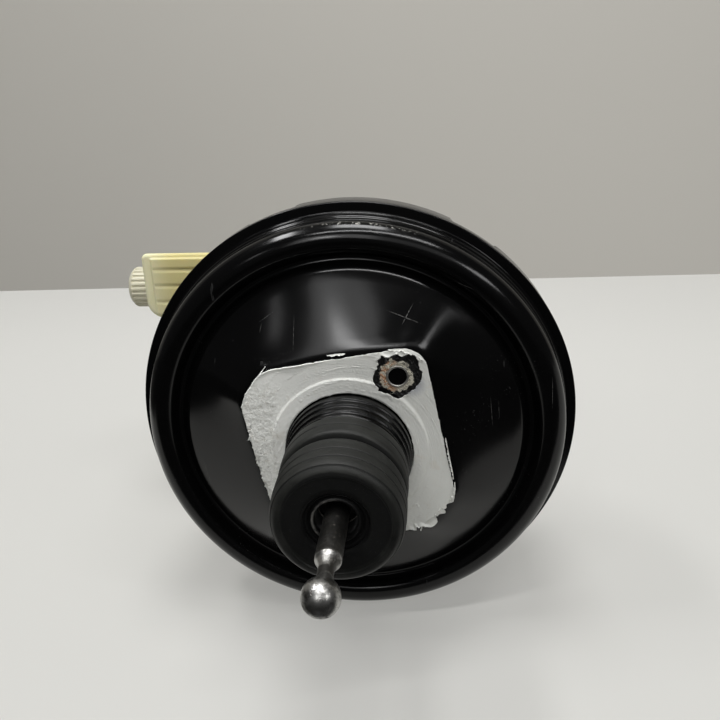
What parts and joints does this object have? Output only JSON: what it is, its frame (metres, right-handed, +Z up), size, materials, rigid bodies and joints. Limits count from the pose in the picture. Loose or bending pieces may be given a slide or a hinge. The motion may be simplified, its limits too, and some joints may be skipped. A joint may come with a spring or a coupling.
{
  "type": "brake booster",
  "caption": "Vacuum brake booster with ribbed dust boot, ball-ended push rod, tandem master cylinder and side-hung fluid reservoir.",
  "frame": {"origin": "centre of the two bulkhead bolt holes, on the steel face of the mounting pad", "axes": "-Y along the booster's axis towards the pedal and +Y towards the master cylinder, +Z up as the booster lies on its rim, -X towards the reservoir"},
  "size_m": [0.3346, 0.4022, 0.276],
  "materials": {
    "shell_paint": "gloss black paint",
    "gasket_paper": "pale coated gasket",
    "zinc_steel": "dull zinc plated",
    "rod_steel": "machined, polished by handling",
    "boot_rubber": "matte moulded",
    "black_rubber": "matte",
    "piston_resin": "moulded phenolic",
    "spring_steel": "oiled spring wire",
    "pressed_steel": "bright pressed sheet",
    "filter_foam": "open foam",
    "felt": "pressed felt",
    "cast_aluminium": "as cast and machined",
    "piston_aluminium": "anodised",
    "guide_plastic": "moulded",
    "tank_plastic": "translucent, yellowed",
    "cap_plastic": "moulded, pale",
    "black_plastic": "moulded",
    "float_foam": "closed foam"
  },
  "bodies": {
    "housing": {"rear_shell": "shell_paint", "front_shell": "shell_paint", "mounting_gasket": "gasket_paper", "through_sleeves": "zinc_steel", "neck_seal": "black_rubber", "guide_bush": "guide_plastic", "seal_retainer": "pressed_steel", "dust_boot": "boot_rubber", "diaphragm": "black_rubber", "return_spring": "spring_steel", "master_cylinder_body": "cast_aluminium", "mc_seal": "black_rubber", "mc_guide_ring": "guide_plastic", "mc_circlip": "spring_steel", "mc_studs": "zinc_steel", "mc_nuts": "zinc_steel", "stop_pin": "zinc_steel", "secondary_spring": "spring_steel", "reservoir": "tank_plastic", "reservoir_grommets": "black_rubber", "reservoir_pin": "zinc_steel", "level_switch": "black_plastic", "check_valve_grommet": "black_rubber"},
    "power_piston": {"valve_body": "piston_resin", "stop_key": "pressed_steel", "diaphragm_plate": "pressed_steel", "sleeve_seals": "black_rubber", "reaction_disc": "black_rubber", "output_rod": "rod_steel", "rod_retainer": "pressed_steel", "poppet_valve": "black_rubber", "poppet_retainer": "pressed_steel", "poppet_spring": "spring_steel", "air_filter": "filter_foam", "silencer": "felt", "valve_spring": "spring_steel"},
    "plunger": {"valve_plunger": "zinc_steel"},
    "rod_seat": {"spring_seat": "pressed_steel"},
    "rod": {"input_rod": "rod_steel"},
    "primary": {"primary_piston": "piston_aluminium", "primary_cups": "black_rubber"},
    "secondary": {"secondary_piston": "piston_aluminium", "secondary_cups": "black_rubber", "primary_spring": "spring_steel"},
    "cap_lift": {"cap_seal": "black_rubber"},
    "cap": {"reservoir_cap": "cap_plastic"},
    "float": {"level_float": "float_foam"},
    "check_valve": {"check_valve_body": "black_plastic", "check_valve_spring": "spring_steel"},
    "check_disc": {"check_valve_disc": "black_rubber"}
  },
  "joints": [
    {"name": "brake_stroke", "type": "slide", "parent": "housing", "child": "power_piston", "axis": [0, 1, 0], "range_m": [0, 0.032], "stiffness_N_per_m": 3000, "springref_m": -0.03, "deforming": ["return_spring", "dust_boot", "diaphragm"]},
    {"name": "valve_travel", "type": "slide", "parent": "power_piston", "child": "plunger", "axis": [0, 1, 0], "range_m": [0, 0.002], "stiffness_N_per_m": 4000, "springref_m": -0.005, "deforming": ["valve_spring"]},
    {"name": "rod_sway", "type": "hinge", "parent": "plunger", "child": "rod_seat", "pos_m": [0, -0.008, 0], "axis": [0, 0, 1], "range_deg": [-2.5, 2.5], "stiffness_Nm_per_rad": 20},
    {"name": "rod_nod", "type": "hinge", "parent": "rod_seat", "child": "rod", "pos_m": [0, -0.008, 0], "axis": [1, 0, 0], "range_deg": [-2.5, 2.5], "stiffness_Nm_per_rad": 20},
    {"name": "primary_stroke", "type": "slide", "parent": "housing", "child": "primary", "axis": [0, 1, 0], "range_m": [0, 0.032], "deforming": ["primary_spring"]},
    {"name": "secondary_stroke", "type": "slide", "parent": "housing", "child": "secondary", "axis": [0, 1, 0], "range_m": [0, 0.016], "deforming": ["secondary_spring"]},
    {"name": "cap_lift", "type": "slide", "parent": "housing", "child": "cap_lift", "axis": [-1, 0, 0], "range_m": [0, 0.03]},
    {"name": "cap_turn", "type": "hinge", "parent": "cap_lift", "child": "cap", "pos_m": [-0.191, 0.1935, 0.0495], "axis": [-1, 0, 0], "range_deg": [0, 90]},
    {"name": "float_rise", "type": "slide", "parent": "housing", "child": "float", "axis": [-1, 0, 0], "range_m": [0, 0.04]},
    {"name": "valve_swivel", "type": "hinge", "parent": "housing", "child": "check_valve", "pos_m": [0.048, 0.144, -0.033], "axis": [0, 1, 0], "range_deg": [-180, 180]},
    {"name": "disc_lift", "type": "slide", "parent": "check_valve", "child": "check_disc", "axis": [0, 1, 0], "range_m": [0, 0.0015], "stiffness_N_per_m": 60, "springref_m": -0.002, "deforming": ["check_valve_spring"]}
  ],
  "couplings": [
    {"joint": "primary_stroke", "follows": "brake_stroke", "ratio": 1},
    {"joint": "secondary_stroke", "follows": "brake_stroke", "ratio": 0.5}
  ]
}
